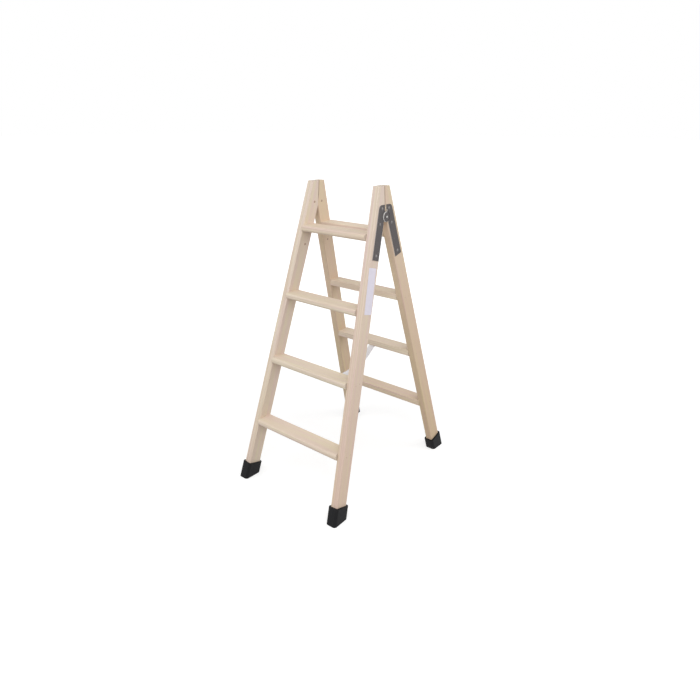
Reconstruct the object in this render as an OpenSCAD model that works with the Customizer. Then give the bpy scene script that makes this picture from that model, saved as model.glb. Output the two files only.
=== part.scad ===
// Double-sided wooden step ladder: two splayed pine frames of four treads each, hinged at the top.
// Millimetres. The floor is z = 0, the ladder faces -Y, and the origin is the middle of its footprint.
// Each front piece on the right is drawn once; mirrors make the left and the rear ones.

/* [Ladder] */
// Height from one tread to the next, and from the floor to the first
tread_rise = 260; // [235:5:290]
// From the top tread up to the sawn tops of the stiles
head_h = 162; // [155:1:200]
// Height of the butting faces, where front and rear stiles meet at the top
seam_h = 97; // [90:1:106]
// Lean of each frame from the vertical when the ladder stands open
lean = 16.4; // [14:0.1:18]
// Splay of each stile within its frame
splay = 4.05; // [2.5:0.05:4.5]
// Width over the stiles at the floor
base_w = 519; // [491:4:559]

/* [Stiles] */
// Width of a stile, from its front edge to its inner edge
stile_w = 58; // [54:1:64]
// Thickness of a stile
stile_t = 30; // [27:1:34]
// Radius of the planed arrises
stile_edge_r = 3; // [1.5:0.5:5]

/* [Treads] */
// Depth of a tread
tread_d = 70; // [64:1:74]
// Thickness of a tread
tread_t = 25; // [22:1:28]
// Radius of the nosing, top and bottom
tread_nose_r = 10; // [5:0.5:10.5]
// Radius along the inner edge
tread_back_r = 3; // [1.5:0.5:5]
// How far the inner edge stays behind the inner edge of the stiles
tread_set_in = 0.5; // [0.5:0.5:4]
// Depth of the tenon on each end of a tread
tenon_d = 38; // [28:1:42]
// Thickness of a tenon
tenon_t = 12; // [8:1:14]
// Length of a tenon
tenon_l = 15; // [8:1:18]

/* [Shoes] */
// Wall of a shoe round the stile
shoe_wall = 8; // [4:0.5:9]
// Thickness of the sole under the stile
shoe_sole = 8; // [5:0.5:12]
// Height of the rim up the inner edge of the stile
shoe_h = 53; // [44:1:60]

/* [Hinges] */
// Width of a hinge leaf
leaf_w = 39; // [36:1:42]
// Distance of a leaf from the inner edge of its stile
leaf_inset = 5.5; // [4.5:0.5:8]
// Thickness of a hinge leaf
leaf_t = 2; // [1.75:0.25:3]
// From the crossing of the inner edges down to the foot of a leaf
leaf_foot = 172; // [166:2:200]
// Height of the leaf heads above the pin
leaf_head_h = 43; // [38:1:48]
// Radius of the outer corner of a leaf head
leaf_corner_r = 18; // [10:1:20]
// Open slit between the two leaf heads
leaf_slit = 9; // [6:0.5:10]
// Radius of the round eyes that lap over each other
eye_r = 19; // [17:0.5:21]
// Bevel round the rim of the outer eye
eye_bevel = 1.5; // [0.5:0.25:1.5]
// Lap of the rear leaf over its own eye, where it steps out over the front one
eye_lap = 7; // [5:0.5:8]
// Height of the pin below the crossing of the inner edges
pin_drop = 10; // [8:1:14]
// Radius of the hinge pin
pin_r = 4; // [3:0.25:4.5]
// Radius of the domed head of the pin
pin_head_r = 7; // [6:0.5:9]
// Height of the domed head of the pin
pin_head_h = 1.25; // [1:0.25:3]
// Radius of the pin's far end, riveted flush into the front eye
pin_flare_r = 5.5; // [5:0.25:7]
// Depth of the countersink for the riveted end
pin_flare_h = 1.25; // [1:0.25:1.5]

/* [Hinge fasteners] */
// Height of the upper rivet above the crossing of the inner edges
upper_rivet_rise = 13; // [10:1:16]
// Distance of the screw below the crossing
hinge_screw_drop = 43; // [38:1:60]
// Distance of the lower rivet below the crossing
lower_rivet_drop = 155; // [140:1:158]
// Radius of the shank of a rivet
rivet_r = 3; // [2:0.25:4]
// Radius of the outer head of a rivet or screw
rivet_head_r = 5.5; // [4.5:0.25:6.5]
// Height of the outer head of a rivet or screw
rivet_head_h = 2.2; // [1.9:0.1:3]
// Radius of the closed end of a rivet on the inner face
rivet_tail_r = 4.5; // [4.25:0.25:6]
// Height of the closed end of a rivet
rivet_tail_h = 1.6; // [1:0.1:2.5]
// Radius of a hinge screw
screw_r = 2.2; // [1.8:0.1:3]
// Length of a hinge screw in the wood
screw_l = 22; // [16:1:24]

/* [Tread nails] */
// Radius of a nail
nail_r = 1.5; // [1:0.1:1.8]
// Length of a nail
nail_l = 65; // [55:1:75]
// Radius of the small head, which is punched flush
nail_head_r = 2.1; // [2:0.1:3]
// Depth of the small head
nail_head_h = 2; // [1:0.1:2.5]
// Distance between the two nails of one tread end
nail_gap = 22; // [16:1:26]

/* [Restraint strap] */
// Width of the webbing
strap_w = 30; // [24:1:34]
// Thickness of the webbing
strap_t = 1.6; // [1.2:0.1:2.5]
// Sag of the slack webbing between the frames
strap_sag = 73; // [40:1:90]
// Length of the end that lies under a tread
strap_tab_l = 38; // [34:1:45]
// Distance of the screw from the inner edge of the tread
strap_screw_in = 22; // [18:1:24]
// Radius of the washer
washer_r = 9; // [7:0.5:11]
// Thickness of the washer
washer_t = 1.5; // [1:0.1:2.5]
// Radius of the strap screw
strap_screw_r = 2.2; // [1.8:0.1:3]
// Radius of the head of the strap screw
strap_screw_head_r = 5; // [4.5:0.25:6]
// Height of the head of the strap screw
strap_screw_head_h = 2.6; // [2.2:0.1:4]
// Length of the strap screw in the wood
strap_screw_l = 16; // [10:1:18]

/* [Fits] */
// Gap where one piece is seated on another
seat_gap = 0.05; // [0.02:0.01:0.1]
// Radial clearance of a shank in its hole
shank_gap = 0.08; // [0.05:0.01:0.1]
// Radial clearance of the hinge eyes on the pin
pin_gap = 0.06; // [0.03:0.01:0.1]
// Clearance of a tenon in its mortise, and of a stile in its shoe
wood_gap = 0.15; // [0.1:0.05:0.3]
// Clearance between pieces that move past each other
run_gap = 0.3; // [0.25:0.05:0.5]
// Half of the open seam between the tops of the two frames
seam_gap = 0.6; // [0.4:0.05:0.8]

/* [Hidden] */
$fn = 64;
overrun = 1;
tread_count = 4;
strap_tread = 2;
strap_steps = 28;
screw_tip_share = 0.25;
nail_tip_share = 0.08;
// Cross recess of a screw head, as shares of the head's radius and height
recess_l_share = 1.1;
recess_w_share = 0.22;
recess_d_share = 0.6;

pine = "#d9c3ae";
tread_pine = "#dfcab8";
black_rubber = "#2b2b2f";
dark_steel = "#4f4d50";
bright_steel = "#b9b7b4";
white_webbing = "#d8d6da";

height = tread_rise * tread_count + head_h;
crossing_z = height - seam_h;
crossing_x = base_w / 2 - crossing_z / cos(lean) * tan(splay);
stile_below = crossing_z / cos(lean) / cos(splay);
stile_above = height / cos(lean) - stile_below + stile_w;
shoe_rim_z = shoe_h - stile_below;

pin_z = crossing_z - pin_drop;
// Height of the pin along the stile, from the crossing
pin_along = -pin_drop * cos(lean);
// Half the width over the outer faces at the height of the pin
pin_face_x = crossing_x - pin_along * tan(splay);
// The eyes stand square to the pin, so they clear the splayed face behind them
eye_lift = eye_r * tan(splay) + run_gap;
front_eye_x = pin_face_x + eye_lift;
rear_eye_x = front_eye_x + leaf_t + run_gap;
pin_head_x = rear_eye_x + leaf_t + run_gap;
leaf_mid = leaf_inset + leaf_w / 2;
leaf_out_x = seat_gap + leaf_t;

function tread_top(k) = tread_rise * k;
function tread_mid(k) = tread_top(k) - tread_t / 2;
// Distance of a stile's inner edge from the middle of the ladder, at a height
function inner_edge(z) = (crossing_z - z) * tan(lean);
function tread_inner(k) = inner_edge(tread_mid(k)) + tread_set_in;
// Height up the stile of a level at height z, at a place across the stile and in from its outer face
function up_stile(z, across, depth) =
    ((z - crossing_z + across * sin(lean)) / cos(lean) - depth * sin(splay)) / cos(splay);

// Frames of reference
module front_frame() { translate([0, 0, crossing_z]) rotate([-lean, 0, 0]) children(); }
module right_stile() { front_frame() translate([crossing_x, 0, 0]) rotate([0, -splay, 0]) children(); }
module to_rear() { mirror([0, 1, 0]) children(); }
module to_left() { mirror([1, 0, 0]) children(); }
// Turns a shape drawn across and along a stile so that it stands out from the stile's outer face
module on_face() { rotate([90, 0, 90]) children(); }
module along_pin(from_x, to_x, r) {
    translate([from_x, 0, pin_z]) rotate([0, 90, 0]) cylinder(h = to_x - from_x, r = r);
}

// Shared shapes
module rounded_bar(size, r) {
    translate([r, 0]) square([size.x - 2 * r, size.y]);
    translate([0, r]) square([size.x, size.y - 2 * r]);
    for (x = [r, size.x - r], y = [r, size.y - r]) translate([x, y]) circle(r);
}
module dome(r, h) {
    ball_r = (r * r + h * h) / (2 * h);
    intersection() {
        translate([0, 0, h - ball_r]) sphere(ball_r);
        cylinder(h = h, r = r + overrun);
    }
}
// Cross recess to cut from the top of a head of this radius and height
module cross_recess(r, h) {
    arm = [r * recess_l_share, r * recess_w_share, h * recess_d_share + overrun];
    for (turn = [0, 90]) translate([0, 0, h * (1 - recess_d_share)]) rotate([0, 0, turn])
        translate([-arm.x / 2, -arm.y / 2, 0]) cube(arm);
}
// Everything on the front half of the ladder, between two heights
module front_half(from_z, to_z, gap) {
    translate([-base_w, -height, from_z]) cube([2 * base_w, height - gap, to_z - from_z]);
}

// Stiles
module stile_section(grow) {
    translate([-stile_t - grow, -stile_w - grow])
        rounded_bar([stile_t + 2 * grow, stile_w + 2 * grow], stile_edge_r + grow);
}
module stile_bar(grow) {
    translate([0, 0, -stile_below - stile_w]) linear_extrude(stile_below + stile_above + stile_w)
        stile_section(grow);
}
module stile() {
    color(pine) difference() {
        intersection() {
            right_stile() stile_bar(0);
            front_half(shoe_sole, height, seam_gap);
        }
        for (k = [1 : tread_count]) tenon(k, wood_gap);
        rivets(shank_gap);
        hinge_screw(shank_gap);
        tread_nails(shank_gap);
    }
}

// Treads: a nosed board between the inner faces of the stiles, with a tenon on each end
module tread_profile(k) {
    back = [tread_inner(k), tread_top(k) - tread_t];
    translate(back) {
        translate([tread_back_r, 0]) square([tread_d - tread_back_r - tread_nose_r, tread_t]);
        translate([0, tread_back_r]) square([tread_back_r, tread_t - 2 * tread_back_r]);
        for (z = [tread_back_r, tread_t - tread_back_r]) translate([tread_back_r, z]) circle(tread_back_r);
        translate([tread_d - tread_nose_r, tread_nose_r]) square([tread_nose_r, tread_t - 2 * tread_nose_r]);
        for (z = [tread_nose_r, tread_t - tread_nose_r])
            translate([tread_d - tread_nose_r, z]) circle(tread_nose_r);
    }
}
// The space between the stiles of the front frame, set off from their inner faces
module between_stiles(set_off) {
    half_top = crossing_x - stile_t / cos(splay) + set_off;
    half_foot = half_top + stile_below * tan(splay);
    front_frame() rotate([90, 0, 0]) linear_extrude(2 * height, center = true)
        polygon([[-half_foot, -stile_below], [half_foot, -stile_below], [half_top, 0], [-half_top, 0]]);
}
module tenon(k, gap) {
    across = tread_inner(k) + tread_d / 2;
    intersection() {
        translate([-base_w, -across - tenon_d / 2 - gap, tread_mid(k) - tenon_t / 2 - gap])
            cube([2 * base_w, tenon_d + 2 * gap, tenon_t + 2 * gap]);
        between_stiles(tenon_l + gap);
    }
}
module tread(k) {
    color(tread_pine) difference() {
        union() {
            intersection() {
                translate([-base_w, 0, 0]) rotate([90, 0, 90]) linear_extrude(2 * base_w)
                    mirror([1, 0]) tread_profile(k);
                between_stiles(-seat_gap);
            }
            tenon(k, 0);
        }
        tread_end_nails(k, shank_gap);
        to_left() tread_end_nails(k, shank_gap);
        if (k == strap_tread) strap_screw(shank_gap);
    }
}

// Shoes: moulded sleeves with a level sole and a rim square to the stile
module shoe() {
    grow = shoe_wall + wood_gap;
    color(black_rubber) difference() {
        intersection() {
            right_stile() translate([0, 0, shoe_rim_z - 2 * shoe_h]) linear_extrude(2 * shoe_h)
                stile_section(grow);
            front_half(0, height, 0);
        }
        intersection() {
            right_stile() stile_bar(wood_gap);
            front_half(shoe_sole - seat_gap, height, 0);
        }
    }
}

// Hinge leaves: flat straps on the outer faces, with heads that meet above the pin
module leaf_outline() {
    top = leaf_head_h - pin_drop;
    outer = leaf_inset + leaf_w;
    corner_across = outer - leaf_corner_r;
    corner_along = (top - leaf_corner_r - corner_across * sin(lean)) / cos(lean);
    // A point given level with the floor, across and up from the crossing
    function level(across, up) = [-across * cos(lean) - up * sin(lean), up * cos(lean) - across * sin(lean)];
    slit = leaf_slit / 2;
    // Height at which the slit ends in the inner edge of the leaf
    slit_foot = (leaf_inset - slit * cos(lean)) / sin(lean);
    corner_top = [-corner_across - leaf_corner_r * sin(lean), corner_along + leaf_corner_r * cos(lean)];
    polygon([
        [-outer, -leaf_foot], [-leaf_inset, -leaf_foot], level(slit, slit_foot), level(slit, top),
        corner_top, [-outer, corner_along]
    ]);
    translate([-corner_across, corner_along]) circle(leaf_corner_r);
}
module leaf_plate(thickness) {
    right_stile() translate([seat_gap, 0, 0]) on_face() linear_extrude(thickness) leaf_outline();
}
module leaf_holes() {
    rivets(shank_gap);
    hinge_screw(shank_gap);
}
module front_leaf() {
    color(dark_steel) difference() {
        union() {
            leaf_plate(leaf_t);
            along_pin(front_eye_x, front_eye_x + leaf_t, eye_r);
        }
        along_pin(front_eye_x + leaf_t, pin_head_x + pin_head_h, eye_r + run_gap);
        along_pin(pin_face_x - stile_t, pin_head_x, pin_r + pin_gap);
        pin_flare(pin_gap);
        leaf_holes();
    }
}
// Drawn as a front leaf, like the rest, and then mirrored to the rear
module rear_leaf() {
    eye_top_x = rear_eye_x + leaf_t;
    rim_x = eye_top_x - eye_bevel;
    color(dark_steel) difference() {
        union() {
            difference() {
                union() {
                    leaf_plate(leaf_t);
                    intersection() {
                        leaf_plate(2 * (eye_top_x - pin_face_x));
                        along_pin(pin_face_x - stile_t, eye_top_x, eye_r + eye_lap);
                    }
                    along_pin(rear_eye_x, rim_x, eye_r);
                }
                along_pin(pin_face_x - stile_t, rear_eye_x, eye_r + run_gap);
                along_pin(rim_x, eye_top_x + overrun, eye_r + run_gap);
            }
            translate([rim_x, 0, pin_z]) rotate([0, 90, 0])
                cylinder(h = eye_bevel, r1 = eye_r, r2 = eye_r - eye_bevel);
        }
        along_pin(pin_face_x - stile_t, pin_head_x, pin_r + pin_gap);
        leaf_holes();
    }
}
// The far end of the pin, spread into a countersink. With a gap it is the countersink.
module pin_flare(gap) {
    translate([front_eye_x, 0, pin_z]) rotate([0, 90, 0])
        cylinder(h = pin_flare_h + gap, r1 = pin_flare_r + gap, r2 = pin_r + gap);
}
module hinge_pin() {
    color(dark_steel) {
        pin_flare(0);
        along_pin(front_eye_x, pin_head_x, pin_r);
        translate([pin_head_x, 0, pin_z]) rotate([0, 90, 0]) dome(pin_head_r, pin_head_h);
    }
}

// Rivets and screws of a leaf. With a gap they are the holes for them.
module across_leaf(drop) {
    right_stile() translate([0, -leaf_mid, -drop]) rotate([0, 90, 0]) children();
}
module rivets(gap) {
    color(bright_steel) for (drop = [-upper_rivet_rise, lower_rivet_drop]) across_leaf(drop) {
        tail = stile_t + seat_gap;
        translate([0, 0, -tail]) cylinder(h = tail + leaf_out_x + seat_gap, r = rivet_r + gap);
        translate([0, 0, leaf_out_x + seat_gap]) dome(rivet_head_r, rivet_head_h);
        translate([0, 0, -tail]) mirror([0, 0, 1]) dome(rivet_tail_r, rivet_tail_h);
    }
}
module hinge_screw(gap) {
    tip = screw_l * screw_tip_share;
    head = leaf_out_x + seat_gap;
    color(bright_steel) across_leaf(hinge_screw_drop) {
        translate([0, 0, tip - screw_l]) cylinder(h = screw_l - tip + head, r = screw_r + gap);
        translate([0, 0, -screw_l]) cylinder(h = tip, r1 = gap, r2 = screw_r + gap);
        translate([0, 0, head]) difference() {
            dome(rivet_head_r, rivet_head_h);
            cross_recess(rivet_head_r, rivet_head_h);
        }
    }
}

// Nails through the stile into the end of a tread. With a gap they are the holes for them.
module nail(gap) {
    tip = nail_l * nail_tip_share;
    translate([0, 0, -nail_head_h]) cylinder(h = nail_head_h + gap, r = nail_head_r + gap);
    translate([0, 0, tip - nail_l]) cylinder(h = nail_l - tip, r = nail_r + gap);
    translate([0, 0, -nail_l]) cylinder(h = tip, r1 = gap, r2 = nail_r + gap);
}
module tread_end_nails(k, gap) {
    for (side = [-1, 1]) {
        across = stile_w / 2 + side * nail_gap / 2;
        right_stile() translate([0, -across, up_stile(tread_mid(k), -across, -stile_t)])
            rotate([0, 90, 0]) nail(gap);
    }
}
module tread_nails(gap) {
    color(bright_steel) for (k = [1 : tread_count]) tread_end_nails(k, gap);
}

// Restraint strap: slack webbing screwed up under one tread of each frame
strap_z = tread_top(strap_tread) - tread_t - seat_gap - strap_t / 2;
strap_edge = tread_inner(strap_tread);
function strap_sag_at(y) = strap_z - strap_sag * (1 - pow(y / strap_edge, 2));
strap_path = concat(
    [[-strap_edge - strap_tab_l, strap_z]],
    [for (i = [0 : strap_steps]) let (y = strap_edge * (2 * i / strap_steps - 1)) [y, strap_sag_at(y)]],
    [[strap_edge + strap_tab_l, strap_z]]
);
// A point beside the path, square to the stretch around it
function beside(i, off) =
    let (from = strap_path[max(i - 1, 0)], to = strap_path[min(i + 1, len(strap_path) - 1)], way = to - from)
    strap_path[i] + off * [-way.y, way.x] / norm(way);
module restraint_strap() {
    last = len(strap_path) - 1;
    upper = [for (i = [0 : last]) beside(i, strap_t / 2)];
    lower = [for (i = [0 : last]) beside(last - i, -strap_t / 2)];
    color(white_webbing) difference() {
        translate([-strap_w / 2, 0, 0]) rotate([90, 0, 90]) linear_extrude(strap_w)
            polygon(concat(upper, lower));
        strap_screw(shank_gap);
        to_rear() strap_screw(shank_gap);
    }
}
module under_tread(below) {
    translate([0, -strap_edge - strap_screw_in, strap_z - strap_t / 2 - below]) children();
}
module strap_washer() {
    color(bright_steel) under_tread(washer_t + seat_gap) difference() {
        cylinder(h = washer_t, r = washer_r);
        translate([0, 0, -overrun]) cylinder(h = washer_t + 2 * overrun, r = strap_screw_r + shank_gap);
    }
}
module strap_screw(gap) {
    below = washer_t + 2 * seat_gap;
    tip = strap_screw_l * screw_tip_share;
    shank = below + strap_t + seat_gap + strap_screw_l - tip;
    color(bright_steel) under_tread(below) {
        mirror([0, 0, 1]) difference() {
            dome(strap_screw_head_r, strap_screw_head_h);
            cross_recess(strap_screw_head_r, strap_screw_head_h);
        }
        cylinder(h = shank, r = strap_screw_r + gap);
        translate([0, 0, shank]) cylinder(h = tip, r1 = strap_screw_r + gap, r2 = gap);
    }
}

to_left() stile();  // front_left_stile
stile();  // front_right_stile
to_rear() to_left() stile();  // rear_left_stile
to_rear() stile();  // rear_right_stile
tread(1);  // front_tread_1
tread(2);  // front_tread_2
tread(3);  // front_tread_3
tread(4);  // front_tread_4
to_rear() tread(1);  // rear_tread_1
to_rear() tread(2);  // rear_tread_2
to_rear() tread(3);  // rear_tread_3
to_rear() tread(4);  // rear_tread_4
to_left() shoe();  // front_left_shoe
shoe();  // front_right_shoe
to_rear() to_left() shoe();  // rear_left_shoe
to_rear() shoe();  // rear_right_shoe
to_left() front_leaf();  // front_left_hinge_leaf
front_leaf();  // front_right_hinge_leaf
to_rear() to_left() rear_leaf();  // rear_left_hinge_leaf
to_rear() rear_leaf();  // rear_right_hinge_leaf
to_left() hinge_pin();  // left_hinge_pin
hinge_pin();  // right_hinge_pin
to_left() rivets(0);  // front_left_hinge_rivets
rivets(0);  // front_right_hinge_rivets
to_rear() to_left() rivets(0);  // rear_left_hinge_rivets
to_rear() rivets(0);  // rear_right_hinge_rivets
to_left() hinge_screw(0);  // front_left_hinge_screw
hinge_screw(0);  // front_right_hinge_screw
to_rear() to_left() hinge_screw(0);  // rear_left_hinge_screw
to_rear() hinge_screw(0);  // rear_right_hinge_screw
to_left() tread_nails(0);  // front_left_tread_nails
tread_nails(0);  // front_right_tread_nails
to_rear() to_left() tread_nails(0);  // rear_left_tread_nails
to_rear() tread_nails(0);  // rear_right_tread_nails
restraint_strap();
strap_washer();  // front_strap_washer
to_rear() strap_washer();  // rear_strap_washer
strap_screw(0);  // front_strap_screw
to_rear() strap_screw(0);  // rear_strap_screw
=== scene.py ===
# %% [markdown]
# # A double-sided pine step ladder
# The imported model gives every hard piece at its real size: stiles, treads, shoes, hinges and fasteners.
# This script dresses it. Each piece gets the finish of the real material, the flat solid of the strap is
# swapped for woven webbing, and a bare label goes on one stile. Lengths are in metres, and one frame
# serves every piece.

# %% Load the frame
import math

import bpy
import numpy as np
from mathutils import Euler, Matrix, Vector


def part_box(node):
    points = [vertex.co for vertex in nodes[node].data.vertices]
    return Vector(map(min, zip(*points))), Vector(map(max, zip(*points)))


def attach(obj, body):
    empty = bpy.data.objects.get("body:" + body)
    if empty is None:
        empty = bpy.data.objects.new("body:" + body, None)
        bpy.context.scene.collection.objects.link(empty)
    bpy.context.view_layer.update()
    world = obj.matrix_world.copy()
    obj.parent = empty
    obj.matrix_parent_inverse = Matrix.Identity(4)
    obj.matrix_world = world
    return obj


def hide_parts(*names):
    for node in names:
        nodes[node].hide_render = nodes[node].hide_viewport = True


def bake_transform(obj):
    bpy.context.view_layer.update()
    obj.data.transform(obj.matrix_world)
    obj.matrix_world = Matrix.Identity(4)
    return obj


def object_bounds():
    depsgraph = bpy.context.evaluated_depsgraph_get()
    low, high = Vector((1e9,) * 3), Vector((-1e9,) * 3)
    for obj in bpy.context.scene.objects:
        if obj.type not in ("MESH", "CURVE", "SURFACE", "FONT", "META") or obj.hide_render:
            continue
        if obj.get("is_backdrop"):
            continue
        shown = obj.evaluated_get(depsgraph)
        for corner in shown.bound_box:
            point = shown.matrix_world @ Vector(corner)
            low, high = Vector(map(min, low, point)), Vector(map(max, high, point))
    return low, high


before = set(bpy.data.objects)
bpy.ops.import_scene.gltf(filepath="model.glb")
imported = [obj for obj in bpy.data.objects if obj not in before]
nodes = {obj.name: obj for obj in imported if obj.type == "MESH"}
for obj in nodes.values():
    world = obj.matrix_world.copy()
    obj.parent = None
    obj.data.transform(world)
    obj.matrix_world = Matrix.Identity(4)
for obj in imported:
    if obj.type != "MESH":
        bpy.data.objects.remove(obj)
cad_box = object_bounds()

# %% [markdown]
# ## Small helpers
# Colours are written as sRGB hex values, as a colour picker shows them, but shaders add and multiply
# light, so they need linear numbers. A pattern's scale is one over the real size of what it repeats, so
# sizes are written in millimetres and turned over. `add` makes one shader node: options by name, then a
# value or a link for each socket. Everything below is built with it.

# %% Colour, node and object helpers
MM = 0.001


def linear(hex_colour):
    """Linear RGBA of an sRGB hex colour."""
    shares = [int(hex_colour[i:i + 2], 16) / 255 for i in (1, 3, 5)]
    return (*[c / 12.92 if c <= 0.04045 else ((c + 0.055) / 1.055) ** 2.4 for c in shares], 1)


def scales(*sizes):
    """Scales of a pattern along X, Y and Z, from its sizes in metres."""
    return [1 / size for size in sizes]


def add(tree, kind, sockets=None, **options):
    """Adds a shader node with its options, and fills its sockets with values or links."""
    node = tree.nodes.new("ShaderNode" + kind)
    for name, value in options.items():
        setattr(node, name, value)
    for socket, value in (sockets or {}).items():
        if isinstance(value, bpy.types.NodeSocket):
            tree.links.new(value, node.inputs[socket])
        else:
            node.inputs[socket].default_value = value
    return node


def new_material(name):
    """A new material, with its node tree and its Principled shader."""
    material = bpy.data.materials.new(name)
    material.use_nodes = True
    return material, material.node_tree, material.node_tree.nodes["Principled BSDF"]


def new_object(name, data):
    """A new object in the scene."""
    made = bpy.data.objects.new(name, data)
    bpy.context.scene.collection.objects.link(made)
    return made


def dress(names, material):
    """Puts one material on each named CAD node."""
    for name in names:
        nodes[name].data.materials.clear()
        nodes[name].data.materials.append(material)


print(f"mid grey #808080 is {linear('#808080')[0]:.3f} in linear light")

# %% [markdown]
# ## Planed pine
# Ladder pine is straight, nearly free of knots and planed. A trunk is a stack of yearly cones: wide pale
# early wood, then a thin line of denser, browner late wood. A board shows them as lines on one face, as
# long arches on the next and as arcs on its end. A picture of grain would have to be fitted to each face,
# so the rings are worked out in space instead: each piece has its own frame, with Z along the grain and
# the heart of the trunk a few centimetres off to the side, and every cut through that space is right by
# itself.

# %% Rings, fibres and bands
RING = 3.6 * MM       # one year's growth
RING_WANDER = 9 * MM  # how far a ring strays from a true circle along a metre of board
WANDER = scales(70 * MM, 70 * MM, 900 * MM)  # one swing of that straying
FIBRE = scales(1.3 * MM, 1.3 * MM, 70 * MM)  # a bundle of fibres: a single one is too fine to show
BAND = scales(14 * MM, 14 * MM, 450 * MM)    # a few years of fast or slow growth
EARLY_ENDS, LATE_PEAK = 0.30, 0.86           # shares of a year


def growth(tree, grain):
    """Sockets for the season (1 in late wood), the fibres and the bands, from a place in a board's frame."""
    noises = []
    for stretch, detail in ((WANDER, 2.0), (FIBRE, 3.0), (BAND, 2.0)):
        drawn = add(tree, "Mapping", {"Vector": grain, "Scale": stretch}).outputs[0]
        noise = add(tree, "TexNoise", {"Vector": drawn, "Scale": 1.0, "Detail": detail})
        noises.append(noise.outputs["Fac"])
    wander, fibre, band = noises

    # A ring is a distance from the heart, with the slow wander added
    flat = add(tree, "VectorMath", {0: grain, 1: (1, 1, 0)}, operation="MULTIPLY").outputs[0]
    radius = add(tree, "VectorMath", {0: flat}, operation="LENGTH").outputs["Value"]
    strayed = add(tree, "Math", {0: wander, 1: 2 * RING_WANDER, 2: radius},
                  operation="MULTIPLY_ADD").outputs[0]
    years = add(tree, "Math", {0: strayed, 1: 1 / RING}, operation="MULTIPLY").outputs[0]
    year = add(tree, "Math", {0: years}, operation="FRACT").outputs[0]
    season = add(tree, "ValToRGB", {"Fac": year})
    stops = season.color_ramp.elements
    stops[0].position, stops[0].color = EARLY_ENDS, (0, 0, 0, 1)
    stops[1].position, stops[1].color = LATE_PEAK, (1, 1, 1, 1)
    stops.new(1.0).color = (0.1, 0.1, 0.1, 1)
    return season.outputs["Color"], fibre, band


print(f"rings {RING / MM:.1f} mm apart, straying up to {RING_WANDER / MM:.0f} mm")

# %% [markdown]
# A board's colour is its tone, darkened by late wood and fibres and warmed by bands. Two marks lie on
# top. End grain drinks a little light and dirt: its open pores are greyer than a planed face. And where
# the tops of the two frames meet, above the hinges, their arrises are painted brown as shade of the gap.

# %% The pine finish
PAINTED_SHADE_FOOT, PAINTED_SHADE_HEAD = 0.10, 1.15                    # heights between which a stile's tone changes, darker at the foot as painted shade
SEASON_DEPTH, FIBRE_DEPTH = 0.50, 0.45     # how much rings and fibres darken the wood
FIBRE_RELIEF = 0.6                         # how much the fibres stand proud, beside the rings
EARLY_WOOD, LATE_WOOD = (1.07, 1.07, 1.07, 1), (0.91, 0.86, 0.80, 1)  # factors on the tone
END_FROM, END_FULL = 0.75, 0.95            # share of a normal along the grain, for end grain
CROSSING = Vector((177.94, 0, 1105)) * MM  # where the inner edges of a front and a rear stile meet
BROWN_FROM, BROWN_FULL = 22 * MM, 42 * MM  # heights above the crossing
ARRIS, ARRIS_CORE = 4 * MM, 1 * MM         # where the brown of an arris ends, and where it is full


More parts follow.
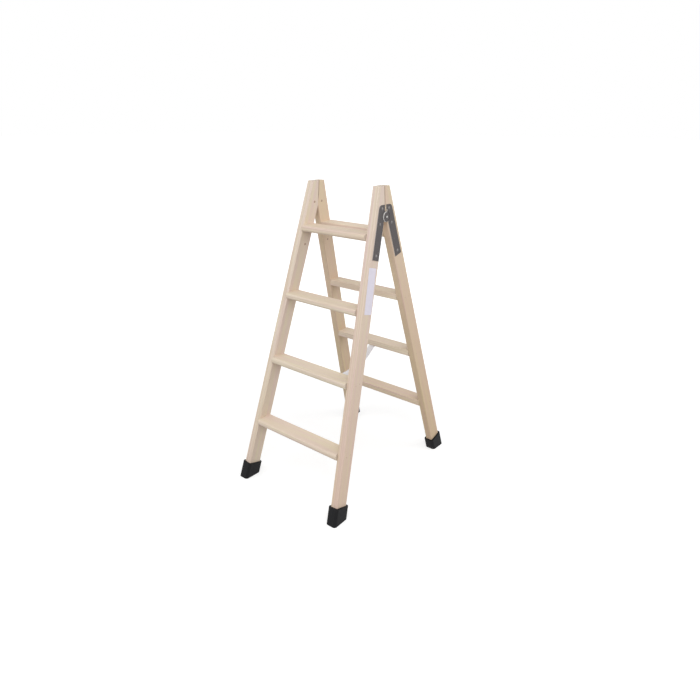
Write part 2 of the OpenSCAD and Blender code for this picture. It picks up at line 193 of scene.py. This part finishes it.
def planed_pine(name, turn, heart, tones):
    """Pine for one piece. Turn sets Z along its grain, heart is a point on the middle line of its trunk, and
    tones are its colours at the floor and at the top of the ladder; the floor's is darker, as painted shade."""
    material, tree, shader = new_material(name)
    place = add(tree, "TexCoord")
    grain = add(tree, "Mapping", {"Vector": place.outputs["Object"], "Location": heart, "Rotation": turn},
                vector_type="TEXTURE").outputs[0]
    season, fibre, band = growth(tree, grain)

    # Colour: painted shade that darkens a stile towards the floor, early to late wood, streaks of fibres,
    # and bands
    spot = add(tree, "SeparateXYZ", {0: place.outputs["Object"]})
    up = add(tree, "MapRange", {"Value": spot.outputs["Z"], "From Min": PAINTED_SHADE_FOOT, "From Max": PAINTED_SHADE_HEAD}).outputs[0]
    tone = add(tree, "Mix", {0: up, 6: linear(tones[0]), 7: linear(tones[-1])}, data_type="RGBA").outputs[2]
    depth = add(tree, "Math", {0: season, 1: SEASON_DEPTH}, operation="MULTIPLY").outputs[0]
    streaked = add(tree, "Math", {0: fibre, 1: FIBRE_DEPTH, 2: depth}, operation="MULTIPLY_ADD").outputs[0]
    shade = add(tree, "MapRange", {"Value": streaked, "From Min": 0.10,
                                   "From Max": SEASON_DEPTH + FIBRE_DEPTH}).outputs[0]
    grown = add(tree, "Mix", {0: shade, 6: EARLY_WOOD, 7: LATE_WOOD}, data_type="RGBA").outputs[2]
    wood = add(tree, "Mix", {0: 1.0, 6: tone, 7: grown}, data_type="RGBA", blend_type="MULTIPLY").outputs[2]
    hue = add(tree, "ValToRGB", {"Fac": band})
    for stop, position, colour in zip(hue.color_ramp.elements, (0.32, 0.68), ("#fdf1ef", "#fffbea")):
        stop.position, stop.color = position, linear(colour)
    toned = add(tree, "Mix", {0: 1.0, 6: wood, 7: hue.outputs["Color"]}, data_type="RGBA",
                blend_type="MULTIPLY").outputs[2]

    # End grain: faces that look along the grain
    facing = add(tree, "Mapping", {"Vector": place.outputs["Normal"], "Rotation": turn},
                 vector_type="TEXTURE").outputs[0]
    along = add(tree, "SeparateXYZ", {0: facing}).outputs["Z"]
    ended = add(tree, "Math", {0: along}, operation="ABSOLUTE").outputs[0]
    cut = add(tree, "MapRange", {"Value": ended, "From Min": END_FROM, "From Max": END_FULL,
                                 "To Max": 0.5}).outputs[0]
    ends = add(tree, "Mix", {0: cut, 6: toned, 7: linear("#c6bdb2")}, data_type="RGBA").outputs[2]

    # Painted shade of the gap between the frames: brown arrises close to the plane where they meet, above
    # the hinges
    beside = add(tree, "Math", {0: spot.outputs["Y"]}, operation="ABSOLUTE").outputs[0]
    arris = add(tree, "MapRange", {"Value": beside, "From Min": ARRIS, "From Max": ARRIS_CORE,
                                   "To Max": 0.55}).outputs[0]
    top = add(tree, "MapRange", {"Value": spot.outputs["Z"], "From Min": CROSSING.z + BROWN_FROM,
                                 "From Max": CROSSING.z + BROWN_FULL}).outputs[0]
    brown = add(tree, "Math", {0: arris, 1: top}, operation="MULTIPLY").outputs[0]
    seam_shaded = add(tree, "Mix", {0: brown, 6: ends, 7: linear("#8a6a52")}, data_type="RGBA").outputs[2]
    tree.links.new(seam_shaded, shader.inputs["Base Color"])

    # A planer leaves the hard late wood a hair proud, and the fibres catch the light
    relief = add(tree, "Math", {0: fibre, 1: FIBRE_RELIEF, 2: depth}, operation="MULTIPLY_ADD").outputs[0]
    bump = add(tree, "Bump", {"Height": relief, "Strength": 0.35, "Distance": 0.14 * MM})
    tree.links.new(bump.outputs[0], shader.inputs["Normal"])
    dull = add(tree, "MapRange", {"Value": fibre, "To Min": 0.50, "To Max": 0.68}).outputs[0]
    tree.links.new(dull, shader.inputs["Roughness"])
    shader.inputs["IOR"].default_value = 1.45
    shader.inputs["Specular IOR Level"].default_value = 0.35
    return material


# The brown arrises are painted shade of the gap between the frames
print(f"brown arrises above {1000 * (CROSSING.z + BROWN_FROM):.0f} mm")

# %% [markdown]
# ## Pine, piece by piece
# The stiles lean and splay, so each needs its own turn; the treads lie across the ladder. Boards never
# match, so each gets a heart and a tone of its own, a little pinker in front and yellower behind. A stile
# has two tones, its foot's and its head's: the foot is darker, as painted shade of light from above.

# %% Dress the stiles and treads
LEAN, SPLAY = math.radians(16.4), math.radians(4.05)
ACROSS = Euler((0, math.pi / 2, 0))

BOARDS = {  # node: heart beside the piece in its own frame (mm), tones
    "front_left_stile": ((-20, 95), ["#dfd5cb", "#dfd7d0"]),
    "front_right_stile": ((-30, -95), ["#ddcdc1", "#ddd4ce"]),
    "rear_left_stile": ((-50, -70), ["#d6c6b0", "#dacdbd"]),
    "rear_right_stile": ((40, 30), ["#d5c3ac", "#d7cabb"]),
    "front_tread_1": ((-15, 50), ["#e1d8ce"]),
    "front_tread_2": ((-40, -45), ["#dfd8ce"]),
    "front_tread_3": ((20, 40), ["#dfd7cd"]),
    "front_tread_4": ((-20, 60), ["#dcd2c7"]),
    "rear_tread_1": ((30, 55), ["#dbcec1"]),
    "rear_tread_2": ((-35, 45), ["#dfd7cc"]),
    "rear_tread_3": ((10, -50), ["#ded5c9"]),
    "rear_tread_4": ((-25, 50), ["#dfd5ca"]),
}


def stile_turn(name):
    """Turn of a stile: it leans to the middle of the ladder, and splays out to its own side."""
    lean = -LEAN if name.startswith("front") else LEAN
    splay = -SPLAY if "right" in name else SPLAY
    return (Matrix.Rotation(lean, 3, "X") @ Matrix.Rotation(splay, 3, "Y")).to_euler()


for name, (beside, tones) in BOARDS.items():
    low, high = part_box(name)
    turn = stile_turn(name) if "stile" in name else ACROSS
    heart = (low + high) / 2 + turn.to_matrix() @ (Vector((*beside, 0)) * MM)
    dress([name], planed_pine("pine_" + name, turn, heart, tones))
print(len(BOARDS), "boards, each cut from its own place in a trunk")

# %% [markdown]
# ## Rubber shoes
# The shoes are moulded from black rubber. A spark-eroded mould leaves a fine pebbled skin, which makes
# the highlights wide and dull, and handling leaves them a little greyer in patches.

# %% The rubber finish
PEBBLE = 1.1 * MM  # drawn about twice as coarse as the real skin, so that it shows
PATCH = 18 * MM    # a greyer patch

rubber, tree, shader = new_material("moulded_black_rubber")
place = add(tree, "TexCoord").outputs["Object"]
pebbles = add(tree, "TexVoronoi", {"Vector": place, "Scale": 1 / PEBBLE},
              feature="SMOOTH_F1").outputs["Distance"]
patches = add(tree, "TexNoise", {"Vector": place, "Scale": 1 / PATCH, "Detail": 4.0}).outputs["Fac"]
dusty = add(tree, "MapRange", {"Value": patches, "From Min": 0.35, "From Max": 0.75}).outputs[0]
skin = add(tree, "Mix", {0: dusty, 6: linear("#0b0b0e"), 7: linear("#131316")}, data_type="RGBA").outputs[2]
tree.links.new(skin, shader.inputs["Base Color"])
dull = add(tree, "MapRange", {"Value": patches, "To Min": 0.50, "To Max": 0.72}).outputs[0]
tree.links.new(dull, shader.inputs["Roughness"])
bump = add(tree, "Bump", {"Height": pebbles, "Strength": 0.6, "Distance": 0.3 * MM})
tree.links.new(bump.outputs[0], shader.inputs["Normal"])
shader.inputs["IOR"].default_value = 1.52
shader.inputs["Specular IOR Level"].default_value = 0.2

shoes = [name for name in nodes if name.endswith("shoe")]
dress(shoes, rubber)
print(len(shoes), "rubber shoes")

# %% [markdown]
# ## Hinges
# The leaves are pressed from steel sheet and stoved dark grey. The paint is thin and satin, slightly
# uneven, and scuffed to bare metal in a few fine scratches. It does not hold on sheared edges: a leaf lies
# square to X, so an edge is any face that looks another way, and there bare steel shows, painted light
# enough to stand for a highlight too. The bevel of an eye is painted bright only on its front half, the lit
# side, which laps over the other leaf, as a painted highlight. Bare steel is oxidised, so it is greyer and
# more matt than polished metal. The pin heads are dark too; a hammered crown is bare, with a painted
# highlight.

# %% Painted steel
CLOUD = 25 * MM  # a thicker or thinner patch of paint
SCRATCH = scales(3.3 * MM, 1.1 * MM, 17 * MM)  # drawn wider than real ones, which would not show
OXIDISED = 0.5   # how metallic bare steel still is


def stoved_steel(name, bright_where):
    """Dark satin paint over steel. The mask given adds nodes, and returns a socket that is 1 on bare steel
    and on painted highlights.
    """
    material, tree, shader = new_material(name)
    place = add(tree, "TexCoord")
    spot = place.outputs["Object"]
    cloud = add(tree, "TexNoise", {"Vector": spot, "Scale": 1 / CLOUD, "Detail": 5.0}).outputs["Fac"]
    drawn = add(tree, "Mapping", {"Vector": spot, "Scale": SCRATCH}).outputs[0]
    scratch = add(tree, "TexNoise", {"Vector": drawn, "Scale": 1.0, "Detail": 6.0}).outputs["Fac"]
    scuffed = add(tree, "MapRange", {"Value": scratch, "From Min": 0.66, "From Max": 0.74,
                                     "To Max": 0.45}).outputs[0]
    coat = add(tree, "Mix", {0: cloud, 6: linear("#393236"), 7: linear("#494341")},
               data_type="RGBA").outputs[2]
    # Scratches are bare steel; the mask adds a leaf's edges and front eye bevels, and a pin's middle, bare
    # steel painted bright as a highlight
    bare = add(tree, "Math", {0: scuffed, 1: bright_where(tree, place)}, operation="MAXIMUM").outputs[0]
    worn_and_highlit = add(tree, "Mix", {0: bare, 6: coat, 7: linear("#cfccc9")}, data_type="RGBA").outputs[2]
    tree.links.new(worn_and_highlit, shader.inputs["Base Color"])
    metal = add(tree, "Math", {0: bare, 1: OXIDISED}, operation="MULTIPLY").outputs[0]
    tree.links.new(metal, shader.inputs["Metallic"])
    satin = add(tree, "MapRange", {"Value": cloud, "To Min": 0.36, "To Max": 0.52}).outputs[0]
    tree.links.new(satin, shader.inputs["Roughness"])
    bump = add(tree, "Bump", {"Height": cloud, "Strength": 0.10, "Distance": 0.2 * MM})
    tree.links.new(bump.outputs[0], shader.inputs["Normal"])
    return material


print(f"paint clouds of {CLOUD / MM:.0f} mm")

# %% [markdown]
# Where the steel is bare, and painted bright as a highlight, is worked out from a face's direction, and
# from its distance to the line of the pins.

# %% Dress the leaves and pins
PIN_Z = 1095 * MM                       # height of the hinge pins
FLAT, EDGE = 0.85, 0.75                 # share of a normal along X, on the flat and on an edge of a leaf
EYE = 20 * MM                           # radius that takes in an eye and its bevel
LAP_FROM, LAP_FULL = 2 * MM, 8 * MM     # behind the pins, where the painted highlight on an eye's front half fades out
CROWN_HIGHLIGHT, CROWN_HIGHLIGHT_ENDS = 3.2 * MM, 4.2 * MM  # radius of a pin's bright crown, bare and painted as a highlight, and where it has faded out


def from_pin(tree, place):
    """Distance from the middle line of the pins."""
    spot = place.outputs["Object"]
    beside = add(tree, "VectorMath", {0: spot, 1: (0, 0, PIN_Z)}, operation="SUBTRACT").outputs[0]
    flat = add(tree, "VectorMath", {0: beside, 1: (0, 1, 1)}, operation="MULTIPLY").outputs[0]
    return add(tree, "VectorMath", {0: flat}, operation="LENGTH").outputs["Value"]


def bare_edges_and_highlight(tree, place):
    """Faces of a leaf that do not look along X, without the rear half of an eye: bare steel, painted bright
    as a highlight.
    """
    facing = add(tree, "SeparateXYZ", {0: place.outputs["Normal"]}).outputs["X"]
    square = add(tree, "Math", {0: facing}, operation="ABSOLUTE").outputs[0]
    edge = add(tree, "MapRange", {"Value": square, "From Min": FLAT, "From Max": EDGE,
                                  "To Max": 0.9}).outputs[0]
    rearward = add(tree, "SeparateXYZ", {0: place.outputs["Object"]}).outputs["Y"]
    behind = add(tree, "MapRange", {"Value": rearward, "From Min": LAP_FROM,
                                    "From Max": LAP_FULL}).outputs[0]
    near = add(tree, "Math", {0: from_pin(tree, place), 1: EYE}, operation="LESS_THAN").outputs[0]
    painted = add(tree, "Math", {0: behind, 1: near}, operation="MULTIPLY").outputs[0]
    return add(tree, "MapRange", {"Value": painted, "To Min": edge, "To Max": 0.0}).outputs[0]


def crown_highlight(tree, place):
    """The middle of a pin's head: bare metal, painted bright as a highlight."""
    away = from_pin(tree, place)
    return add(tree, "MapRange", {"Value": away, "From Min": CROWN_HIGHLIGHT_ENDS, "From Max": CROWN_HIGHLIGHT}).outputs[0]


leaves = [name for name in nodes if name.endswith("hinge_leaf")]
pins = [name for name in nodes if name.endswith("hinge_pin")]
dress(leaves, stoved_steel("stoved_grey_steel_edge_highlight", bare_edges_and_highlight))
dress(pins, stoved_steel("stoved_pin_steel_crown_highlight", crown_highlight))
print(len(leaves), "painted leaves and", len(pins), "pins")

# %% [markdown]
# The rivets and screws are zinc-plated, which goes dull and cloudy within weeks. The washers and screws
# of the strap are the same, only cleaner. A rivet's far end is closed with a hammer, and it is coloured
# brown and less metallic. That end faces the middle of the ladder: its place and its normal have
# opposite signs along X.

# %% Plated steel
SPANGLE = 4 * MM   # a cloud in the zinc
INWARD = -50 * MM  # place times normal: far below 0 on the closed ends, about 0 on the shanks


def plated(name, dark, light, end_colour=None):
    """Cloudy zinc plate. The optional colour goes on the closed ends of rivets."""
    material, tree, shader = new_material(name)
    place = add(tree, "TexCoord")
    spot = place.outputs["Object"]
    cloud = add(tree, "TexNoise", {"Vector": spot, "Scale": 1 / SPANGLE, "Detail": 3.0}).outputs["Fac"]
    plate = add(tree, "Mix", {0: cloud, 6: linear(dark), 7: linear(light)}, data_type="RGBA").outputs[2]
    satin = add(tree, "MapRange", {"Value": cloud, "To Min": 0.32, "To Max": 0.52}).outputs[0]
    tree.links.new(satin, shader.inputs["Roughness"])
    shader.inputs["Metallic"].default_value = 1.0
    if end_colour:
        facing = place.outputs["Normal"]
        outward = add(tree, "VectorMath", {0: spot, 1: facing}, operation="MULTIPLY").outputs[0]
        across = add(tree, "SeparateXYZ", {0: outward}).outputs["X"]
        closed = add(tree, "Math", {0: across, 1: INWARD}, operation="LESS_THAN").outputs[0]
        plate = add(tree, "Mix", {0: closed, 6: plate, 7: linear(end_colour)}, data_type="RGBA").outputs[2]
        metal = add(tree, "MapRange", {"Value": closed, "To Min": 1.0, "To Max": 0.3}).outputs[0]
        tree.links.new(metal, shader.inputs["Metallic"])
    tree.links.new(plate, shader.inputs["Base Color"])
    return material


for zinc, ends in ((plated("brown_ended_zinc", "#6b6868", "#838080", "#ab917f"), "rivets"),
                   (plated("dull_zinc", "#6b6868", "#838080"), "hinge_screw"),
                   (plated("clean_zinc", "#b4b2ad", "#d6d5d0"), ("washer", "strap_screw"))):
    fasteners = [name for name in nodes if name.endswith(ends)]
    dress(fasteners, zinc)
    print(len(fasteners), "nodes in", zinc.name)

# %% [markdown]
# The nails that hold the treads are punched into the stile and stopped with wood filler, so only small
# round spots show, a little greyer and flatter than the pine, with fine grit from sanding. A nail lies
# along X, so the faces that look along X are its filled head, and the rest of it is grey wire.

# %% Filled nail heads
GRIT = 0.5 * MM  # drawn about three times as coarse as the real grit
ENDWISE = 0.9    # share of a normal along X, above which a face is a nail's end

filled, tree, shader = new_material("filled_wire_nail")
place = add(tree, "TexCoord")
grit = add(tree, "TexNoise", {"Vector": place.outputs["Object"], "Scale": 1 / GRIT,
                              "Detail": 2.0}).outputs["Fac"]
putty = add(tree, "Mix", {0: grit, 6: linear("#bfa58b"), 7: linear("#d2bca4")}, data_type="RGBA").outputs[2]
facing = add(tree, "SeparateXYZ", {0: place.outputs["Normal"]}).outputs["X"]
ended = add(tree, "Math", {0: facing}, operation="ABSOLUTE").outputs[0]
wire = add(tree, "Math", {0: ended, 1: ENDWISE}, operation="LESS_THAN").outputs[0]
nail_colour = add(tree, "Mix", {0: wire, 6: putty, 7: linear("#8b8986")}, data_type="RGBA").outputs[2]
tree.links.new(nail_colour, shader.inputs["Base Color"])
tree.links.new(wire, shader.inputs["Metallic"])
dull = add(tree, "MapRange", {"Value": wire, "To Min": 0.85, "To Max": 0.4}).outputs[0]
tree.links.new(dull, shader.inputs["Roughness"])
bump = add(tree, "Bump", {"Height": grit, "Strength": 0.2, "Distance": 0.1 * MM})
tree.links.new(bump.outputs[0], shader.inputs["Normal"])

nails = [name for name in nodes if name.endswith("tread_nails")]
dress(nails, filled)
print(len(nails), "rows of filled nail heads")

# %% [markdown]
# ## Restraint strap
# A band of white polyester webbing keeps the frames from sliding apart. It is slack here, so it hangs in
# a curve between the second treads. The solid is a plain bent bar; the webbing gets thick rounded edges
# where the threads turn back, a slight cup across its width, and soft bends where it leaves the treads.

# %% The route of the webbing
WEB_WIDTH, WEB_THICK = 30 * MM, 1.5 * MM
low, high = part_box("restraint_strap")
TAB = 38 * MM              # the end that lies under a tread
REACH = high.y - TAB       # from the middle to the edge of the tread
TOP_Z = high.z - 0.8 * MM  # middle of the webbing under the treads, a hair below the solid's top
SAG = 73 * MM              # how far the middle hangs down
STEPS = 96                 # lengths along the route
EASING = 2                 # passes that round its kinks


def webbing_route():
    """Points from the front end to the rear end: flat tabs and a slack curve, with the kinks eased."""
    y = np.linspace(-REACH - TAB, REACH + TAB, STEPS + 1)
    z = TOP_Z - SAG * np.clip(1 - (y / REACH) ** 2, 0, None)
    for _ in range(EASING):
        z[1:-1] = np.minimum(z[1:-1], (z[:-2] + 2 * z[1:-1] + z[2:]) / 4)
    return np.stack([np.zeros_like(y), y, z], axis=1)


route = webbing_route()
spans = np.linalg.norm(np.diff(route, axis=0), axis=1)

# %% [markdown]
# A curve with a bevel could make the band, but its cross-section would be round, or a second curve. Here
# the section is swept along the route in a loop, so that the cup can fade out towards the treads, and
# each corner gets a UV in metres, which the weave needs.

# %% The webbing as a mesh
CUP = 0.9 * MM  # how far the middle of its width hangs below its edges


def webbing_mesh():
    """Sweeps a band with rounded edges along the route. UV is metres across and along."""
    edge = WEB_THICK / 2
    half = WEB_WIDTH / 2 - edge
    right = [(half + edge * math.cos(a), edge * math.sin(a)) for a in np.radians(np.arange(-90, 91, 30))]
    top = [(half * share, edge) for share in (0.5, 0.0, -0.5)]
    section = right + top + [(-x, -z) for x, z in right + top]
    along = np.concatenate([[0], np.cumsum(spans)])
    ways = np.gradient(route, axis=0)
    ways /= np.linalg.norm(ways, axis=1)[:, None]
    points, faces, uvs = [], [], []
    count = len(section)
    for i, (spot, way) in enumerate(zip(route, ways)):
        normal = np.array([0, -way[2], way[1]])
        slack = np.clip(1 - (spot[1] / REACH) ** 2, 0, 1)
        for x, z in section:
            cup = CUP * slack * (1 - (2 * x / WEB_WIDTH) ** 2)
            points.append(spot + np.array([x, 0, 0]) + normal * (z - cup))
        for k in range(count if i else 0):
            m = (k + 1) % count
            faces.append(((i - 1) * count + k, (i - 1) * count + m, i * count + m, i * count + k))
            uvs += [(section[j][0], along[h]) for j, h in ((k, i - 1), (m, i - 1), (m, i), (k, i))]
    for start in (0, STEPS * count):
        ring = list(range(start, start + count))
        faces.append(ring if start else ring[::-1])
        uvs += [(section[j - start][0], along[start // count]) for j in faces[-1]]
    mesh = bpy.data.meshes.new("webbing")
    mesh.from_pydata([tuple(p) for p in points], [], faces)
    layer = mesh.uv_layers.new(name="webbing_metres")
    for loop, uv in zip(layer.data, uvs):
        loop.uv = uv
    mesh.shade_smooth()
    mesh.validate()
    return mesh


webbing = new_object("webbing", webbing_mesh())
print(len(webbing.data.polygons), "faces of webbing")

# %% [markdown]
# Webbing is woven from thick yarns: ribs run along the band and the cross yarns bulge between them, so
# the surface is a grid of small pillows. Both counts follow the real cloth, about six ribs to the
# centimetre.

# %% The webbing finish
RIB, PICK = 1.6 * MM, 1.3 * MM  # spacing of the ribs, and of the cross yarns
SMUDGE = 17 * MM                # a patch greyed by hands and dust

white_web, tree, shader = new_material("woven_white_polyester")
uv = add(tree, "UVMap", uv_map="webbing_metres").outputs[0]
metres = add(tree, "SeparateXYZ", {0: uv})
waves = []
for axis, spacing in (("X", RIB), ("Y", PICK)):
    turn = add(tree, "Math", {0: metres.outputs[axis], 1: math.pi / spacing},
               operation="MULTIPLY").outputs[0]
    wave = add(tree, "Math", {0: turn}, operation="SINE").outputs[0]
    waves.append(add(tree, "Math", {0: wave}, operation="ABSOLUTE").outputs[0])
pillow = add(tree, "Math", {0: waves[0], 1: waves[1]}, operation="MULTIPLY").outputs[0]
place = add(tree, "TexCoord").outputs["Object"]
soil = add(tree, "TexNoise", {"Vector": place, "Scale": 1 / SMUDGE, "Detail": 4.0}).outputs["Fac"]
# Pillow tops lighter, grooves between them darker: painted shade of the weave
yarn_groove_shade = add(tree, "Mix", {0: pillow, 6: linear("#e6e5ea"), 7: linear("#f7f6f9")}, data_type="RGBA").outputs[2]
used = add(tree, "MapRange", {"Value": soil, "From Min": 0.45, "From Max": 0.80, "To Max": 0.35}).outputs[0]
cloth = add(tree, "Mix", {0: used, 6: yarn_groove_shade, 7: linear("#e8e6e4")}, data_type="RGBA").outputs[2]
tree.links.new(cloth, shader.inputs["Base Color"])
bump = add(tree, "Bump", {"Height": pillow, "Strength": 0.6, "Distance": 0.3 * MM})
tree.links.new(bump.outputs[0], shader.inputs["Normal"])
shader.inputs["Roughness"].default_value = 0.8
shader.inputs["Sheen Weight"].default_value = 0.2
shader.inputs["Sheen Roughness"].default_value = 0.5

webbing.data.materials.append(white_web)
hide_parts("restraint_strap")
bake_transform(webbing)
print("webbing hangs", f"{1000 * (TOP_Z - route[:, 2].min()):.0f} mm below the treads")

# %% [markdown]
# ## Bare label
# The right front stile carries a long bare label of satin paper with rounded corners. It was put on by
# hand, so it sits a little askew. A thin sheet close to a face could be painted into the pine's material,
# but as a piece of its own it catches the light along its edge, and it can be taken off.

# %% A label on the stile
LABEL_LENGTH, LABEL_WIDTH = 170 * MM, 43 * MM
LABEL_CORNER, CORNER_POINTS = 4 * MM, 7
GLUE, PAPER = 0.02 * MM, 0.15 * MM  # heights of its back and front above the wood
LABEL_TOP = 199.5 * MM              # its top below the crossing
LABEL_INSET = 29.5 * MM             # its middle in from the inner edge of the stile
LABEL_ASKEW = math.radians(2.5)
MOTTLE = 11 * MM                    # a cloud in the paper


def label_mesh():
    """A rounded sheet on the outer face of the right front stile, with its thickness."""
    outline = []
    for cx, cy, start in ((1, 1, 0), (-1, 1, 90), (-1, -1, 180), (1, -1, 270)):
        for a in np.radians(np.linspace(start, start + 90, CORNER_POINTS)):
            outline.append((cx * (LABEL_WIDTH / 2 - LABEL_CORNER) + LABEL_CORNER * math.cos(a),
                            cy * (LABEL_LENGTH / 2 - LABEL_CORNER) + LABEL_CORNER * math.sin(a)))
    middle = Matrix.Translation((0, -LABEL_INSET, -LABEL_TOP - LABEL_LENGTH / 2))
    turn = (Matrix.Translation(CROSSING) @ stile_turn("front_right").to_matrix().to_4x4() @ middle
            @ Matrix.Rotation(LABEL_ASKEW, 4, "X"))
    points = [turn @ Vector((out, y, z)) for out in (GLUE, PAPER) for y, z in outline]
    count = len(outline)
    sides = [(k, (k + 1) % count, count + (k + 1) % count, count + k) for k in range(count)]
    mesh = bpy.data.meshes.new("bare_label")
    back, front = list(range(count))[::-1], list(range(count, 2 * count))
    mesh.from_pydata([tuple(p) for p in points], [], [back, front, *sides])
    return mesh


label = new_object("bare_label", label_mesh())
paper, tree, shader = new_material("satin_label_paper")
place = add(tree, "TexCoord").outputs["Object"]
mottle = add(tree, "TexNoise", {"Vector": place, "Scale": 1 / MOTTLE, "Detail": 3.0}).outputs["Fac"]
sheet = add(tree, "Mix", {0: mottle, 6: linear("#dcd6e4"), 7: linear("#e6e1ec")},
            data_type="RGBA").outputs[2]
tree.links.new(sheet, shader.inputs["Base Color"])
shader.inputs["Roughness"].default_value = 0.4
label.data.materials.append(paper)
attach(label, "front_frame")
print("bare label,", f"{1000 * LABEL_LENGTH:.0f} by {1000 * LABEL_WIDTH:.0f} mm")

# %% [markdown]
# ## Floor
# The ladder stands on a white floor that runs on to the horizon. It is lit like the rest, so it keeps the
# ladder's shadow, and a little glow that only the camera, gloss and glass see lifts it to the white of
# the backdrop. More light would do that too, but it would bleach the pine.

# %% White floor
FLOOR = 60.0                     # half of its width, so that it reaches the horizon
NEAR_GLOW, FAR_GLOW = 0.62, 1.0  # what the lamps leave to white, near the ladder and far from it
NEAR, FAR = 0.5, 3.0             # distances at which the two hold


def shown(tree):
    """A socket that is 1 for what the camera sees directly, or through gloss or glass."""
    seen = add(tree, "LightPath").outputs
    directly = add(tree, "Math", {0: seen["Is Camera Ray"], 1: seen["Is Glossy Ray"]},
                   operation="MAXIMUM").outputs[0]
    return add(tree, "Math", {0: directly, 1: seen["Is Transmission Ray"]}, operation="MAXIMUM").outputs[0]


plane = bpy.data.meshes.new("floor")
corners = [(x * FLOOR, y * FLOOR, 0) for x, y in ((-1, -1), (1, -1), (1, 1), (-1, 1))]
plane.from_pydata(corners, [], [(0, 1, 2, 3)])
floor = new_object("floor", plane)
white_floor, tree, shader = new_material("white_floor")
shader.inputs["Base Color"].default_value = linear("#bdbdbd")
shader.inputs["Roughness"].default_value = 1.0
shader.inputs["Specular IOR Level"].default_value = 0.0
place = add(tree, "TexCoord").outputs["Object"]
away = add(tree, "VectorMath", {0: place}, operation="LENGTH").outputs["Value"]
glow = add(tree, "MapRange", {"Value": away, "From Min": NEAR, "From Max": FAR,
                              "To Min": NEAR_GLOW, "To Max": FAR_GLOW}).outputs[0]
lift = add(tree, "Math", {0: shown(tree), 1: glow}, operation="MULTIPLY").outputs[0]
shader.inputs["Emission Color"].default_value = (1, 1, 1, 1)
tree.links.new(lift, shader.inputs["Emission Strength"])
floor.data.materials.append(white_floor)
floor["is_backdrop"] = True
print("floor,", 2 * FLOOR, "m wide")

# %% [markdown]
# ## Light
# A studio lights pale wood softly, from large diffusers: a key from the camera's right, a fill from the
# left and one from behind on the right, all high up, and an even white world for the rest. The world
# shows as white, but lights the ladder at half of that, so that no face clips.

# %% Soft studio light
WORLD_LIGHT, WORLD_SHOWN = 0.52, 1.0
LAMP_AIM, LAMP_SIZE = Vector((0, 0, 0.6)), 2.4
LAMPS = {  # name: place, watts
    "key": ((1.7, -2.1, 3.0), 50),
    "front_fill": ((-1.4, -2.6, 2.6), 26),
    "side_fill": ((2.6, 1.6, 2.6), 36),
}

world = bpy.data.worlds.new("studio")
bpy.context.scene.world = world
world.use_nodes = True
tree = world.node_tree
strength = add(tree, "MapRange", {"Value": shown(tree), "To Min": WORLD_LIGHT,
                                  "To Max": WORLD_SHOWN}).outputs[0]
tree.nodes["Background"].inputs["Color"].default_value = (1, 1, 1, 1)
tree.links.new(strength, tree.nodes["Background"].inputs["Strength"])

for name, (place, watts) in LAMPS.items():
    lamp = bpy.data.lights.new(name, "AREA")
    lamp.size, lamp.energy = LAMP_SIZE, watts
    softbox = new_object(name, lamp)
    softbox.location = place
    softbox.rotation_euler = (LAMP_AIM - Vector(place)).to_track_quat("-Z", "Y").to_euler()
print("lamps:", ", ".join(LAMPS))

# %% [markdown]
# ## Camera
# The camera looks down on the ladder from the front right. Its place was found by fitting the edges of
# the stiles and treads; the lens follows from a focal length in pixels, and a small shift puts the
# picture's middle in place.

# %% Camera at the photograph's angle
AIM, DISTANCE = Vector((0, 0, 0.550)), 2.342
AZIMUTH, ELEVATION, ROLL = math.radians(39.19), math.radians(21.58), math.radians(0.27)
FOCAL_PX, IMAGE_PX = 563.3, 700
SHIFT_PX = 3.47, -4.86
SENSOR = 36  # mm, as the lens

level = Vector((math.sin(AZIMUTH), -math.cos(AZIMUTH), 0)) * math.cos(ELEVATION)
back = level + Vector((0, 0, math.sin(ELEVATION)))
optics = bpy.data.cameras.new("camera")
optics.sensor_width = SENSOR
optics.lens = FOCAL_PX / IMAGE_PX * SENSOR
optics.shift_x, optics.shift_y = (shift / IMAGE_PX for shift in SHIFT_PX)
camera = new_object("camera", optics)
camera.location = AIM + DISTANCE * back
turn = (-back).to_track_quat("-Z", "Y").to_matrix() @ Matrix.Rotation(ROLL, 3, "Z")
camera.rotation_euler = turn.to_euler()
bpy.context.scene.camera = camera
bpy.context.scene.view_settings.view_transform = "Standard"
print(f"lens {optics.lens:.1f} mm")

# %% Compare the sizes and finish
boxes = {"cad": cad_box, "visual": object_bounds()}
change = max(abs(a - b) for corners in zip(*boxes.values()) for a, b in zip(*corners))
print(f"the dressed ladder differs from its solids by {1000 * change:.2f} mm at most")
